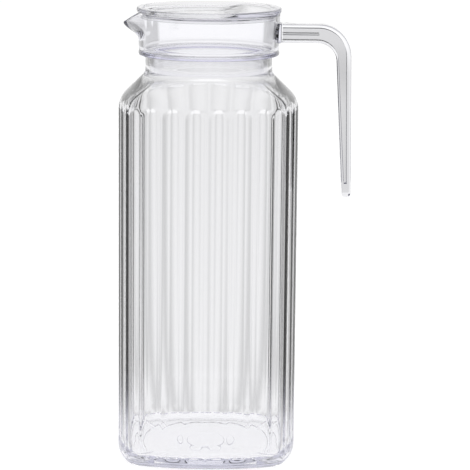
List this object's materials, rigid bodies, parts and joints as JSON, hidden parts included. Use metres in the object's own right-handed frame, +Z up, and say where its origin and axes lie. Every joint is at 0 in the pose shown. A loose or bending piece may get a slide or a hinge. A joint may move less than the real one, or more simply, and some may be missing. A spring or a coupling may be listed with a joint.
{
  "type": "juice carafe",
  "caption": "Clear fluted fridge jug with an arched-square body, a plug-in round collar with a beak spout and an open hooked handle, and a drop-in round lid.",
  "frame": {"origin": "middle of the underside, on the centre pad that lies level with the standing rim", "axes": "+Z up along the jug's axis, +X towards the handle, -X towards the spout"},
  "size_m": [0.1165, 0.09, 0.2252],
  "materials": {
    "clear_body": "clear glossy moulded styrene plastic, faintly violet in thick sections",
    "clear_collar": "clear glossy moulded styrene plastic, faintly violet in thick sections",
    "clear_lid": "clear glossy moulded styrene plastic"
  },
  "bodies": {
    "jug": {"jug_body": "clear_body"},
    "collar": {"collar_with_spout_and_handle": "clear_collar"},
    "lid": {"lid": "clear_lid"}
  },
  "joints": [
    {"name": "collar_pull", "type": "slide", "parent": "jug", "child": "collar", "axis": [0, 0, 1], "range_m": [0, 0.03]},
    {"name": "lid_lift", "type": "slide", "parent": "collar", "child": "lid", "axis": [0, 0, 1], "range_m": [0, 0.03]}
  ]
}
